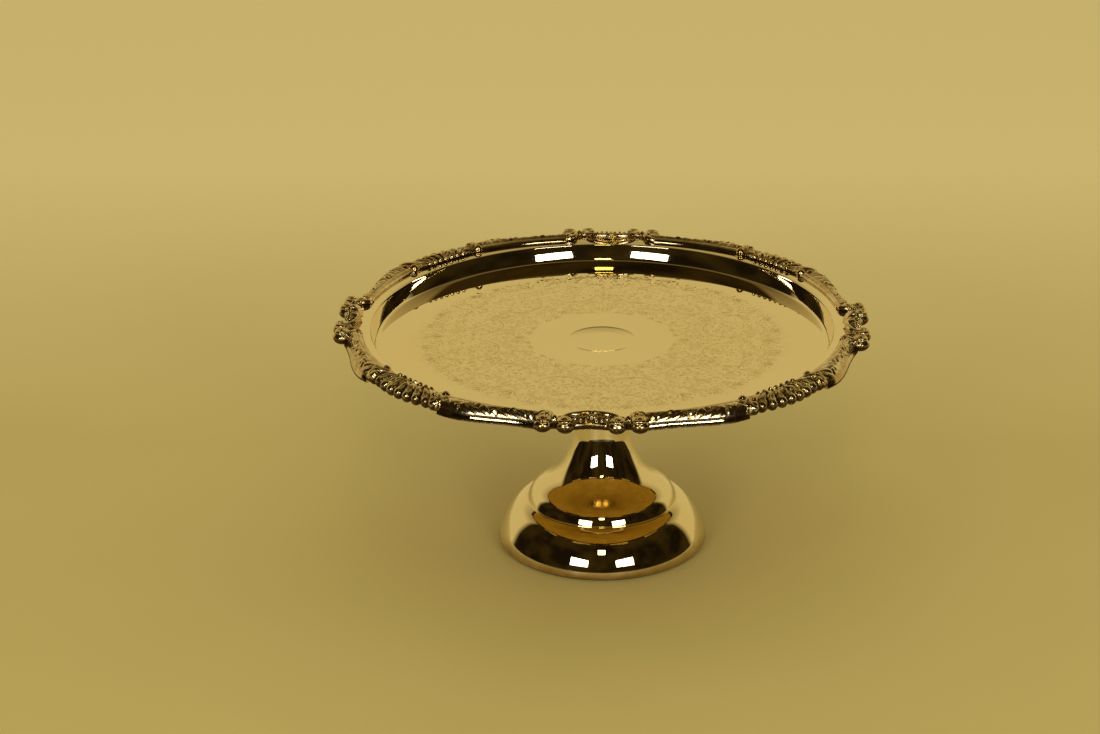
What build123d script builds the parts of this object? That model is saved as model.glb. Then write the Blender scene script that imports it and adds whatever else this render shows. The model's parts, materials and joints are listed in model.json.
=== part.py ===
"""Revolving pedestal cake stand.

A chased round tray with a cast ornamental border turns on a ball thrust bearing in the head of a spun,
hollow pedestal. Millimetres, +Z up, origin at the centre of the footprint on the table. One of the four
scroll mounts of the border lies on +X, and one shell mount lies midway to the next.
"""

import math
import os

from build123d import *

# ---- driving dimensions -----------------------------------------------------------------------------
FLOOR_Z = 136.0  # top face of the tray floor
FLOOR_R = 139.6  # where the floor meets the side of the well
WELL_R = 143.5  # top of the side of the well
WELL_DEPTH = 10.3
FLANGE_R = 153.5  # edge of the tray sheet, hidden under the border
FLANGE_RISE = 1.0
TRAY_SHEET = 1.2
SHELL_SHEET = 1.0  # wall of the spun pedestal
SOLDER = 0.1  # gap left for solder under the border castings

FOOT_INNER_R = 54.0  # edge of the turned-in lip under the foot
FOOT_R = 66.0
FELT = 1.2
LIP_Z = 121.5  # top of the neck, where the bearing housing sits
LIP_R = 20.3
PLATE_Z = 65.0  # underside of the plate that centres the bearing housing in the neck
PLATE_R = 17.7

SPINDLE_R = 5.0
STUD_R = 4.0  # threaded end that screws into the hub socket
RUNNING = 0.05  # radial clearance of the spindle in its bushes
BUSH_R = 8.0
BUSH_FLANGE_R = 9.2
HOUSING_TOP = LIP_Z + 1.5
HOUSING_END = 62.0
BALL_R = 2.5
BALL_COUNT = 12
BALL_PITCH_R = 13.0
GROOVE_DEPTH = 0.9
GROOVE_R = BALL_R + 0.05
RACE_IN_R = 9.6
RACE_OUT_R = 16.8
RACE_T = 2.0

SCROLL_COUNT = 4  # scroll mounts, with as many shell mounts between them and twice as many rails
BORDER_Z = 151.0  # crest of the border
BORDER_LOW_Z = 141.8  # lower edge, which wraps over the edge of the tray
RAIL_START, RAIL_END = 11.5, 33.5  # degrees from the middle of a scroll mount
MOUNT_HALF = 11.35  # degrees either side of a mount's middle
LOBE_DROOP = 8.0  # degrees by which a shell's lobes lean down outwards

# ---- derived heights --------------------------------------------------------------------------------
FLANGE_Z = FLOOR_Z + WELL_DEPTH
TRAY_UNDER_Z = FLOOR_Z - TRAY_SHEET
LOWER_RACE_TOP = HOUSING_TOP + RACE_T
BALL_Z = LOWER_RACE_TOP - GROOVE_DEPTH + BALL_R
UPPER_RACE_Z = BALL_Z + BALL_R - GROOVE_DEPTH
SEAT_Z = UPPER_RACE_Z + RACE_T
BOSS_END_Z = HOUSING_TOP + 2.4
WASHER_T = 1.6
BUSH_FLANGE_T = 1.4
THRUST_TOP = HOUSING_END - BUSH_FLANGE_T - RUNNING
WASHER_TOP = THRUST_TOP - WASHER_T
NUT_TOP = WASHER_TOP - WASHER_T
NUT_HEX_T = 6.5
NUT_CASTLE_T = 3.3
NUT_ACROSS_FLATS = 17.0
PIN_R = 1.0
PIN_Z = NUT_TOP - NUT_HEX_T - NUT_CASTLE_T / 2


def section(*edges):
    """A closed face in the XZ plane from edges drawn as (radius, height)."""
    return Plane.XZ * make_face(Wire(list(edges)))


def turned(*edges):
    """A solid of revolution about Z from edges drawn as (radius, height)."""
    return revolve(section(*edges), Axis.Z)


def ring(r_in, r_out, z_low, z_high):
    """A plain ring, or a disc where the inner radius is 0."""
    outer = Pos(0, 0, z_low) * Cylinder(r_out, z_high - z_low, align=(Align.CENTER, Align.CENTER, Align.MIN))
    if r_in == 0:
        return outer
    return outer - Pos(0, 0, z_low) * Cylinder(
        r_in, z_high - z_low, align=(Align.CENTER, Align.CENTER, Align.MIN)
    )


def closed_lines(*points):
    """The edges of a closed polygon."""
    return Polyline(*points, close=True).edges()


def inset(points, depth):
    """The same run of points moved by depth to the left of the direction of travel."""
    moved = []
    last = len(points) - 1
    for i, (r, z) in enumerate(points):
        r0, z0 = points[max(i - 1, 0)]
        r1, z1 = points[min(i + 1, last)]
        length = math.hypot(r1 - r0, z1 - z0)
        moved.append((r - depth * (z1 - z0) / length, z + depth * (r1 - r0) / length))
    return moved


def around(shape, count, start=0.0):
    """Copies of a shape at equal angles about Z."""
    return [Rot(0, 0, start + 360.0 * i / count) * shape for i in range(count)]


# ---- tray ------------------------------------------------------------------------------------------
def flange_z(radius):
    """Height of the flange's top face."""
    return FLANGE_Z + FLANGE_RISE * (radius - WELL_R) / (FLANGE_R - WELL_R)


def tray_dish():
    top = [(0, FLOOR_Z), (FLOOR_R, FLOOR_Z), (WELL_R, FLANGE_Z), (FLANGE_R, flange_z(FLANGE_R))]
    side = math.hypot(WELL_R - FLOOR_R, WELL_DEPTH)
    shift = TRAY_SHEET * (side - (WELL_R - FLOOR_R)) / WELL_DEPTH  # the mitre of the outer side wall
    bottom = [
        (FLANGE_R, flange_z(FLANGE_R) - TRAY_SHEET),
        (WELL_R + shift, FLANGE_Z - TRAY_SHEET + FLANGE_RISE * shift / (FLANGE_R - WELL_R)),
        (FLOOR_R + shift, TRAY_UNDER_Z),
        (0, TRAY_UNDER_Z),
    ]
    dish = turned(*closed_lines(*top, *bottom))
    bends = dish.edges().filter_by(GeomType.CIRCLE).filter_by(
        lambda e: FLOOR_R - 1 < e.radius < WELL_R + shift + 1
    )
    return fillet(bends, 0.9)


def hub_collar():
    outer = [(21.9, LIP_Z - 0.6), (22.5, 125.5), (24.6, 130.6), (30.5, TRAY_UNDER_Z)]
    inner = [(21.0, LIP_Z - 0.6), (21.6, 125.8), (23.9, 131.2), (29.0, TRAY_UNDER_Z)]
    return turned(
        Spline(*outer),
        Line(outer[-1], inner[-1]),
        Spline(*reversed(inner)),
        Line(inner[0], outer[0]),
    )


def hub_socket():
    flange = ring(0, 21.0, SEAT_Z + 2.0, TRAY_UNDER_Z)
    seat = ring(0, RACE_OUT_R + 0.6, SEAT_Z, SEAT_Z + 2.0)
    boss = ring(0, 8.4, BOSS_END_Z, SEAT_Z)
    return flange + seat + boss - ring(0, STUD_R, BOSS_END_Z, TRAY_UNDER_Z - 1.2)


# ---- border castings -------------------------------------------------------------------------------
def rail_outer(angle):
    """Outer edge of a rail: narrow next to a scroll mount, swelling towards a shell mount."""
    share = min(max((angle - 14.0) / 15.0, 0.0), 1.0)
    return 159.8 + 5.4 * share * share * (3 - 2 * share)


def rail_section(angle):
    inner, outer = 148.0 + 0.06 * (angle - RAIL_START), rail_outer(angle)
    step = FLANGE_R + SOLDER
    underside = Polyline(
        (inner, flange_z(inner) + SOLDER),
        (step, flange_z(step) + SOLDER),
        (step, BORDER_LOW_Z + 0.6),
        (outer - 1.2, BORDER_LOW_Z),
    )
    crest = Spline(
        (outer - 1.2, BORDER_LOW_Z),
        (outer, BORDER_LOW_Z + 2.6),
        (outer - 1.6, BORDER_Z - 1.6),
        ((inner + outer) / 2 + 1.0, BORDER_Z),
        (inner + 2.0, BORDER_Z - 1.6),
        (inner, flange_z(inner) + SOLDER),
    )
    a = math.radians(angle)
    plane = Plane(origin=(0, 0, 0), x_dir=(math.cos(a), math.sin(a), 0), z_dir=(math.sin(a), -math.cos(a), 0))
    return plane * make_face(Wire([*underside.edges(), *crest.edges()]))


def leaf_rails():
    steps = 6
    angles = [RAIL_START + (RAIL_END - RAIL_START) * i / (steps - 1) for i in range(steps)]
    right = loft([rail_section(a) for a in angles])
    left = mirror(right, Plane.XZ)
    return around(right, SCROLL_COUNT) + around(left, SCROLL_COUNT)


def border_pad(half_angle):
    """The curved bar under a mount, centred on +X, before the room for the tray sheet is cut out of it."""
    low = BORDER_LOW_Z + 0.6
    bar = section(
        *closed_lines(
            (149.0, low),
            (159.0, low),
            (160.5, low + 2.0),
            (159.0, BORDER_Z - 1.4),
            (152.0, BORDER_Z - 1.4),
            (149.0, BORDER_Z - 3.4),
        )
    )
    return revolve(Rot(0, 0, -half_angle) * bar, Axis.Z, 2 * half_angle)


def at_polar(radius, angle, z=0.0):
    """A place on the border, turned so that local X points outwards."""
    return Rot(0, 0, angle) * Pos(radius, 0, z)


def button(radius, z_low, z_high):
    """A round boss with a domed top, like a scroll's eye."""
    rim = z_low + 0.45 * (z_high - z_low)
    side = Line((0, z_low), (radius, z_low))
    wall = Line((radius, z_low), (radius, rim))
    dome = ThreePointArc((radius, rim), (0.72 * radius, rim + 0.72 * (z_high - rim)), (0, z_high))
    return turned(side, wall, dome, Line((0, z_high), (0, z_low)))


def lobe(inner_r, tip_r, big_r, small_r):
    """A gadroon along local X: a drop shape with its round end at tip_r."""
    centre = tip_r - big_r
    top = ThreePointArc(
        (centre, big_r), (centre + big_r * math.sin(math.pi / 4), big_r * math.cos(math.pi / 4)), (tip_r, 0)
    )
    outline = [Line((inner_r, 0), (inner_r, small_r)), Line((inner_r, small_r), (centre, big_r)), top]
    return revolve(make_face(Wire([*outline, Line((tip_r, 0), (inner_r, 0))])), Axis.X)


def under_flange():
    """The room the tray sheet takes up below a casting."""
    step = FLANGE_R + SOLDER
    return turned(
        *closed_lines(
            (140.0, 140.0),
            (step, 140.0),
            (step, flange_z(step) + SOLDER),
            (140.0, flange_z(140.0) + SOLDER),
        )
    )


def scroll_mounts():
    mount = border_pad(MOUNT_HALF)
    for side in (-1, 1):
        for angle, radius in ((5.2, 5.3), (9.25, 5.4)):
            volute = button(radius, BORDER_LOW_Z + 0.4, BORDER_Z + 0.6)
            mount += at_polar(166.4 - radius, side * angle) * volute
    mount += at_polar(154.6, 0) * button(5.2, FLANGE_Z - 1.0, BORDER_Z + 1.0)
    return around(mount - under_flange(), SCROLL_COUNT)


def shell_mounts():
    mount = border_pad(MOUNT_HALF)
    for i in range(-2, 3):
        drooping = Rot(0, LOBE_DROOP, 0) * lobe(0, 16.6 - 0.35 * i * i, 4.3, 1.6)
        mount += at_polar(150.0, 3.4 * i, 148.8) * drooping
    for side in (-1, 1):
        mount += at_polar(152.4, side * 9.1, 148.3) * Sphere(2.9)
    return around(mount - under_flange(), SCROLL_COUNT, 180.0 / SCROLL_COUNT)


# ---- swivel ----------------------------------------------------------------------------------------
def race(z_low):
    """A thrust race with a ball groove cut by the ring that the balls run in."""
    path = Pos(0, 0, BALL_Z) * Torus(BALL_PITCH_R, GROOVE_R)
    return ring(RACE_IN_R, RACE_OUT_R, z_low, z_low + RACE_T) - path


def balls():
    return around(Pos(BALL_PITCH_R, 0, BALL_Z) * Sphere(BALL_R), BALL_COUNT)


def ball_cage():
    cage = ring(RACE_IN_R + 0.3, RACE_OUT_R - 0.6, BALL_Z - 1.1, BALL_Z + 1.1)
    for pocket in around(Pos(BALL_PITCH_R, 0, BALL_Z) * Cylinder(BALL_R + 0.1, 6), BALL_COUNT):
        cage -= pocket
    return cage


def spindle():
    end_z = NUT_TOP - NUT_HEX_T - NUT_CASTLE_T - 1.0
    shaft = turned(
        *closed_lines(
            (0, end_z),
            (SPINDLE_R - 0.8, end_z),
            (SPINDLE_R, end_z + 0.8),
            (SPINDLE_R, BOSS_END_Z),
            (STUD_R, BOSS_END_Z),
            (STUD_R, TRAY_UNDER_Z - 2.0),
            (0, TRAY_UNDER_Z - 2.0),
        )
    )
    return shaft - Pos(0, 0, PIN_Z) * Rot(0, 90, 0) * Cylinder(PIN_R + 0.05, 4 * SPINDLE_R)


def bush(z_low, z_high, flange_low):
    bore = SPINDLE_R + RUNNING
    return ring(bore, BUSH_R, z_low, z_high) + ring(bore, BUSH_FLANGE_R, flange_low, flange_low + BUSH_FLANGE_T)


def spindle_nut():
    """A castle nut, slots down, with its pin slot along X."""
    hex_z = NUT_TOP - NUT_HEX_T
    corner_r = NUT_ACROSS_FLATS / 2 / math.cos(math.pi / 6)
    nut = Pos(0, 0, hex_z) * extrude(RegularPolygon(corner_r, 6), NUT_HEX_T)
    nut += ring(0, 7.4, hex_z - NUT_CASTLE_T, hex_z)
    for i in range(3):
        nut -= Rot(0, 0, 60 * i) * Pos(0, 0, PIN_Z) * Box(30, 2 * PIN_R + 0.5, NUT_CASTLE_T)
    return nut - ring(0, SPINDLE_R, hex_z - NUT_CASTLE_T, NUT_TOP)


def split_pin():
    """A cotter along X with an eye at one end and its legs bent apart at the other."""
    straight = 9.4
    bar = Rot(0, 90, 0) * Cylinder(PIN_R, 2 * straight)
    eye = Pos(straight + 1.9, 0, 0) * Torus(1.6, 0.8)
    legs = [
        Pos(-straight, 0, 0) * Rot(0, 0, side * 55) * Rot(0, -90, 0)
        * Cylinder(PIN_R * 0.7, 5, align=(Align.CENTER, Align.CENTER, Align.MIN))
        for side in (-1, 1)
    ]
    return Pos(0, 0, PIN_Z) * (bar + eye + legs[0] + legs[1])


# ---- pedestal --------------------------------------------------------------------------------------
def pedestal_shell():
    dome = [(FOOT_R, 3.5), (65.85, 5.0), (65.55, 6.6), (64.75, 9.1), (63.1, 12.8)]
    dome += [(60, 18.5), (56.7, 23), (52.3, 27), (47.9, 28.8)]
    neck = [(47.1, 29.4), (46.0, 32.0), (44.3, 34.9), (42.2, 37.1), (39.0, 39.4), (33.6, 43)]
    neck += [(29.4, 47), (26.2, 51), (23.9, 55.5), (21.7, 60), (19.3, 66), (17.7, 70.6)]
    neck += [(17.15, 72.4), (16.45, 77)]
    neck += [(15.7, 88), (15.7, 98), (17.1, 111)]
    neck += [(LIP_R, LIP_Z)]
    low = FELT
    foot = [
        Line((FOOT_INNER_R, low), (FOOT_R - 2.3, low)),
        ThreePointArc((FOOT_R - 2.3, low), (FOOT_R - 0.67, low + 0.67), dome[0]),
    ]
    bead = ThreePointArc(dome[-1], (47.75, 29.35), neck[0])
    inner_neck = [*inset(neck, SHELL_SHEET)[:-1], (LIP_R - SHELL_SHEET, LIP_Z)]
    inner_dome = [(FOOT_R - SHELL_SHEET, 3.5), *inset(dome, SHELL_SHEET)[1:-1]]
    inner_foot = Polyline(
        inner_dome[0],
        (FOOT_R - 2.3, low + SHELL_SHEET),
        (FOOT_INNER_R, low + SHELL_SHEET),
        (FOOT_INNER_R, low),
    )
    return turned(
        *foot,
        Spline(*dome),
        bead,
        Spline(*neck),
        Line(neck[-1], inner_neck[-1]),
        Spline(*reversed(inner_neck)),
        Line(inner_neck[0], inner_dome[-1]),
        Spline(*reversed(inner_dome)),
        *inner_foot.edges(),
    )


def bearing_housing():
    flange = ring(BUSH_R, LIP_R - 0.4, LIP_Z, HOUSING_TOP)
    spigot = ring(BUSH_R, 17.4, LIP_Z - 3.0, LIP_Z)
    return flange + spigot + ring(BUSH_R, 10.2, HOUSING_END, LIP_Z)


def build():
    return {
        "tray_dish": tray_dish(),
        "border_scroll_mounts": scroll_mounts(),
        "border_shell_mounts": shell_mounts(),
        "border_leaf_rails": leaf_rails(),
        "hub_collar": hub_collar(),
        "hub_socket": hub_socket(),
        "upper_race": race(UPPER_RACE_Z),
        "spindle": spindle(),
        "thrust_washer": ring(SPINDLE_R + 0.15, 9.6, WASHER_TOP, THRUST_TOP),
        "spindle_washer": ring(SPINDLE_R + 0.1, 10.0, NUT_TOP, WASHER_TOP),
        "spindle_nut": spindle_nut(),
        "split_pin": split_pin(),
        "bearing_balls": balls(),
        "ball_cage": ball_cage(),
        "lower_race": race(HOUSING_TOP),
        "bearing_housing": bearing_housing(),
        "upper_bush": bush(HOUSING_TOP - 17.0, HOUSING_TOP, HOUSING_TOP),
        "lower_bush": bush(HOUSING_END, HOUSING_END + 17.0, HOUSING_END - BUSH_FLANGE_T),
        "centring_plate": ring(10.2, PLATE_R, PLATE_Z, PLATE_Z + 2.0),
        "pedestal_shell": pedestal_shell(),
        "felt_ring": ring(FOOT_INNER_R + 0.5, FOOT_R - 3.0, 0.0, FELT),
    }


os.makedirs("parts", exist_ok=True)
for node, shape in build().items():
    solids = shape if isinstance(shape, list) else [shape]
    export_step(Compound(children=solids) if len(solids) > 1 else solids[0], f"parts/{node}.step")
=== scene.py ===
"""Looks of the revolving cake stand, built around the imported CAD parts.

Shapes are worked out in millimetres and stored in metres. The spindle is the Z axis, the table is z = 0 and a
scroll mount of the border lies on +X, as in the CAD parts.
"""

import json
import math

import bmesh
import bpy
import numpy as np
from mathutils import Matrix, Vector
from mathutils.geometry import delaunay_2d_cdt


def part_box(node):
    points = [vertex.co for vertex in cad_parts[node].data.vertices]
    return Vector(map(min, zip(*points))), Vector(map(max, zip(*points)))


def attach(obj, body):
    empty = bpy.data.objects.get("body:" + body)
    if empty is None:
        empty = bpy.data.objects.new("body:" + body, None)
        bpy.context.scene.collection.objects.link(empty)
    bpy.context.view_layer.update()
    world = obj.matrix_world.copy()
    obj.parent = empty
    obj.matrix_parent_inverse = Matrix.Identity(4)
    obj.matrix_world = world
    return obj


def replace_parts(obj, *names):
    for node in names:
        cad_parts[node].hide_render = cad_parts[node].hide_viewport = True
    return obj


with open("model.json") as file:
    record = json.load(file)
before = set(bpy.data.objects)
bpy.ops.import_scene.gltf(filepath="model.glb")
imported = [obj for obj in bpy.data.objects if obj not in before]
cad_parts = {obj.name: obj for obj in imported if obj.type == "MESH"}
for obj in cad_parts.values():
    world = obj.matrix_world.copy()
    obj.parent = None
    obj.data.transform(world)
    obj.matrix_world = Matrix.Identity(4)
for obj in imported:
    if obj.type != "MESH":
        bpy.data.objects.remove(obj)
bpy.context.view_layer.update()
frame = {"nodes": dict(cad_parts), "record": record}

MM = 0.001
TURN = 240  # segments round a turned part
SECTORS = 6  # repeats of the chased pattern
MOUNTS = 4  # scroll mounts on the border, and as many shell mounts between them

# ---- sizes in millimetres, from the CAD parts where their boxes give them ----
dish_low, dish_high = (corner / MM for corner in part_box("tray_dish"))
collar_low, collar_high = (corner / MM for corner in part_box("hub_collar"))
shell_low, shell_high = (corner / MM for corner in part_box("pedestal_shell"))
BORDER_LOW_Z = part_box("border_leaf_rails")[0].z / MM

DISH_SHEET = 1.2  # thickness of the tray's sheet
UNDER_Z = dish_low.z
FLOOR_Z = UNDER_Z + DISH_SHEET
COVE_R = 138.0  # where the flat floor ends
WELL_R = 143.5  # top of the well's side
WELL_DEPTH = 10.3
FLANGE_SLOPE = 0.1
FLANGE_R = dish_high.x

CHASED_IN = 40.0
CHASED_OUT = 116.0
CUT_DEPTH = 0.055
FULL_CUT = 0.42  # half width of a cut that reaches the full depth

RIM_R = 157.0  # radius at which lengths along the border are true
STEP_R = FLANGE_R + 0.12  # the castings wrap down over the sheet's edge here
SKIRT_R = STEP_R + 0.1  # inner side of what hangs outside the sheet's edge
SEAT_GAP = 0.1  # from the flange up to the castings
CAST_END_X = 31.3  # half the length of a scroll or shell casting
CAST_VOXEL = 0.44
GROOVE_LOW_Z = 146.5  # the tools that groove a casting stay above this height
RAIL_DEGREES = (11.45, 33.55)
RAIL_STATIONS = 150

FOOT_R = 66.0
FOOT_SHEET = 1.0  # thickness of the pedestal's sheet
TURNED_IN_R = 54.0  # the foot's sheet turns in under itself to here
BEAD_R = 47.5  # the bead between the dome and the neck
BEAD_Z = 29.2
BEAD_ROUND = 0.5
NECK_LIP_R = 20.3


def flange_z(radius):
    """Height of the flange's top face."""
    return FLOOR_Z + WELL_DEPTH + FLANGE_SLOPE * (radius - WELL_R)


# ---- meshes --------------------------------------------------------
def in_scene(name, data):
    """A new object, placed in the scene."""
    obj = bpy.data.objects.new(name, data)
    bpy.context.scene.collection.objects.link(obj)
    return obj


def mesh_object(name, points, faces):
    mesh = bpy.data.meshes.new(name)
    mesh.from_pydata((np.asarray(points, float) * MM).tolist(), [], faces)
    mesh.shade_smooth()
    mesh.validate()
    return in_scene(name, mesh)


def weld(obj, sharp_degrees):
    """Joins points that coincide, points the faces outwards and marks the sharp edges."""
    bm = bmesh.new()
    bm.from_mesh(obj.data)
    bmesh.ops.remove_doubles(bm, verts=bm.verts, dist=0.002 * MM)
    bmesh.ops.recalc_face_normals(bm, faces=bm.faces)
    bm.to_mesh(obj.data)
    bm.free()
    obj.data.set_sharp_from_angle(angle=math.radians(sharp_degrees))
    return obj


def heading(degrees):
    """The X and Y of a step of length 1 in a direction."""
    a = math.radians(degrees)
    return math.cos(a), math.sin(a)


def units(vectors):
    """Each row, scaled to length 1."""
    return vectors / np.maximum(np.linalg.norm(vectors, axis=1), 1e-9)[:, None]


def smooth_curve(knots, count):
    """Points at even steps along a natural cubic spline through the knots."""
    knots = np.array(knots, float)
    along = np.r_[0, np.cumsum(np.linalg.norm(np.diff(knots, axis=0), axis=1))]
    gap = np.diff(along)
    system, right = np.eye(len(knots)), np.zeros_like(knots)
    for i in range(1, len(knots) - 1):
        system[i, i - 1 : i + 2] = gap[i - 1], 2 * (gap[i - 1] + gap[i]), gap[i]
        right[i] = 6 * ((knots[i + 1] - knots[i]) / gap[i] - (knots[i] - knots[i - 1]) / gap[i - 1])
    second = np.linalg.solve(system, right)
    s = np.linspace(0, along[-1], count)
    i = np.clip(np.searchsorted(along, s, side="right") - 1, 0, len(gap) - 1)
    a = ((along[i + 1] - s) / gap[i])[:, None]
    b = 1 - a
    curve = a * knots[i] + b * knots[i + 1]
    sway = (a**3 - a) * second[i] + (b**3 - b) * second[i + 1]
    return curve + sway * (gap[i] ** 2)[:, None] / 6


def bend(start, corner, end, steps=8):
    """Points round a corner from start to end."""
    start, corner, end = (np.array(p, float) for p in (start, corner, end))
    return [(1 - t) ** 2 * start + 2 * t * (1 - t) * corner + t * t * end for t in np.linspace(0, 1, steps)]


def soften(corners, steps=6):
    """A path through (radius, height, cut) corners, each rounded off over its cut length."""
    path = []
    spots = [np.array(c[:2], float) for c in corners]
    for i, spot in enumerate(spots):
        cut = corners[i][2]
        if cut == 0:
            path.append(spot)
            continue
        before = (spots[i - 1] - spot) / np.linalg.norm(spots[i - 1] - spot)
        after = (spots[i + 1] - spot) / np.linalg.norm(spots[i + 1] - spot)
        path += bend(spot + cut * before, spot, spot + cut * after, steps)
    return path


def lathe(profile, first=0):
    """Points and quads of a run of (radius, height) points turned about Z."""
    angle = np.arange(TURN) * 2 * math.pi / TURN
    ring = np.stack([np.cos(angle), np.sin(angle)], axis=1)
    points = [np.c_[ring * r, np.full(TURN, z)] for r, z in profile]
    faces = []
    for row in range(len(profile) - 1):
        for i in range(TURN):
            j = (i + 1) % TURN
            a, b = first + row * TURN, first + (row + 1) * TURN
            faces.append((a + i, a + j, b + j, b + i))
    return np.concatenate(points), faces


def turned_object(name, profile):
    points, faces = lathe(profile)
    return weld(mesh_object(name, points, faces), 50)


def inset(points, depth):
    """The same run of points moved by depth to the left of the direction of travel."""
    ahead = units(np.gradient(np.asarray(points, float), axis=0))
    return np.asarray(points) + depth * np.c_[-ahead[:, 1], ahead[:, 0]]


def rotated(points, degrees):
    c, s = heading(degrees)
    x, y = points[:, 0], points[:, 1]
    return np.c_[x * c - y * s, x * s + y * c, points[:, 2:]]


def stand_in(obj, body, node):
    """A silver piece that rides on a body and stands for a CAD node."""
    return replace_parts(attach(obj, body), node)


def shade_layer(obj, shade):
    """Stores, for the material, hollow depth and painted shade low down; -1 is a place rubbed bright."""
    # the castings' values add painted shade low down to the hollow depth
    layer = obj.data.attributes.new("hollow", "FLOAT", "POINT")
    layer.data.foreach_set("value", shade.astype(np.float32))


def repeated(name, patterns):
    """One object from copies: patterns is a list of (points, faces, shade, [degrees])."""
    points, faces, shades = [], [], []
    count = 0
    for shape, sides, shade, turns in patterns:
        for degrees in turns:
            points.append(rotated(shape, degrees))
            faces += shifted(sides, count)
            shades.append(shade)
            count += len(shape)
    obj = mesh_object(name, np.concatenate(points), faces)
    shade_layer(obj, np.concatenate(shades))
    return obj


def shifted(faces, count):
    """The same faces with every point's number raised by count."""
    return [tuple(k + count for k in f) for f in faces]


def face_edges(faces):
    pairs = {(min(a, b), max(a, b)) for f in faces for a, b in zip(f, f[1:] + f[:1])}
    return np.array(sorted(pairs))


def neighbour_mean(points, edges):
    n = len(points)
    a, b = edges.T
    degree = np.bincount(edges.ravel(), minlength=n)
    sums = [np.bincount(a, axis[b], n) + np.bincount(b, axis[a], n) for axis in points.T]
    return np.stack(sums, axis=1) / np.maximum(degree, 1)[:, None]


def relaxed(points, edges, rounds):
    """Each round moves every point half way to the middle of its neighbours."""
    for _ in range(rounds):
        points = points + 0.5 * (neighbour_mean(points, edges) - points)
    return points


def point_normals(points, faces):
    normals = np.zeros_like(points)
    quads = np.array([f if len(f) == 4 else (*f, f[-1]) for f in faces if len(f) <= 4])
    across = np.cross(points[quads[:, 2]] - points[quads[:, 0]], points[quads[:, 3]] - points[quads[:, 1]])
    for k in range(4):
        for axis in range(3):
            normals[:, axis] += np.bincount(quads[:, k], across[:, axis], len(points))
    return units(normals)


def hollow_depth(points, faces, rounds, full):
    """How far the smoothed surface lies above each point: 0 on open ground, 1 at `full` millimetres or more,
    and below 0 on what stands proud."""
    edges = face_edges(faces)
    lifted = relaxed(points, edges, rounds) - points
    depth = np.einsum("ij,ij->i", lifted, point_normals(points, faces))
    return np.clip(depth / full, -1, 1)


# ---- chased floor --------------------------------------------------
def dash(x, y, degrees, length, half_width=0.72, bow=0.12):
    """A short tapered cut from (x, y), bowed to one side by a share of its length."""
    c, s = heading(degrees)
    t = np.linspace(0, 1, 5)
    ahead = t * length
    side = 4 * bow * length * t * (1 - t)
    return np.c_[x + ahead * c - side * s, y + ahead * s + side * c], half_width


def coil(x, y, r_start, r_end, from_degrees, to_degrees, half_width):
    """A cut along an arc that winds in or out, in steps of about 1.7 mm."""
    steps = max(6, int(abs(math.radians(to_degrees - from_degrees)) * (r_start + r_end) / 2 / 1.7))
    a = np.radians(np.linspace(from_degrees, to_degrees, steps))
    r = np.linspace(r_start, r_end, steps)
    return np.c_[x + r * np.cos(a), y + r * np.sin(a)], half_width


def flower(x, y, size, petals, first_degrees):
    """Petal cuts round a dotted eye."""
    cuts = []
    for i in range(petals):
        a = first_degrees + 360.0 * i / petals
        c, s = heading(a)
        cuts.append(dash(x + 0.38 * size * c, y + 0.38 * size * s, a, 0.66 * size, 0.55, 0.1))
        cuts.append(dash(x + 0.16 * size * c, y + 0.16 * size * s, a, 0.14 * size, 0.3, 0.0))
    return cuts


def spray(knots, leaves, leaf):
    """A stem with pairs of leaf cuts along it that shorten towards its tip."""
    stem = smooth_curve(knots, 3 * leaves + 1)
    cuts = [(stem, 0.26)]
    for i in range(leaves):
        here, ahead = stem[3 * i + 1], stem[3 * i + 2]
        lean = math.degrees(math.atan2(ahead[1] - here[1], ahead[0] - here[0]))
        size = leaf * (1 - 0.55 * i / leaves)
        c, s = heading(lean + 90)
        for side in (-1, 1):
            x, y = here[0] + 0.7 * side * c, here[1] + 0.7 * side * s
            cuts.append(dash(x, y, lean + 42 * side, size, 0.44, -0.14 * side))
    return cuts


def fan(x, y, degrees, spread, lengths):
    """Cuts that open from one spot: the first along the middle, the rest in pairs."""
    cuts = [dash(x, y, degrees, lengths[0], 0.5, 0.0)]
    for i, length in enumerate(lengths[1:], 1):
        for side in (-1, 1):
            a = degrees + side * spread * i
            c, s = heading(a)
            cuts.append(dash(x + 1.2 * c, y + 1.2 * s, a, length, 0.45, -0.12 * side))
    return cuts


def at_ray(radius, off):
    """A spot near the line between two sectors, off millimetres to this sector's side of it."""
    a = math.pi / SECTORS
    return radius * math.cos(a) + off * math.sin(a), radius * math.sin(a) - off * math.cos(a)


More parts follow.
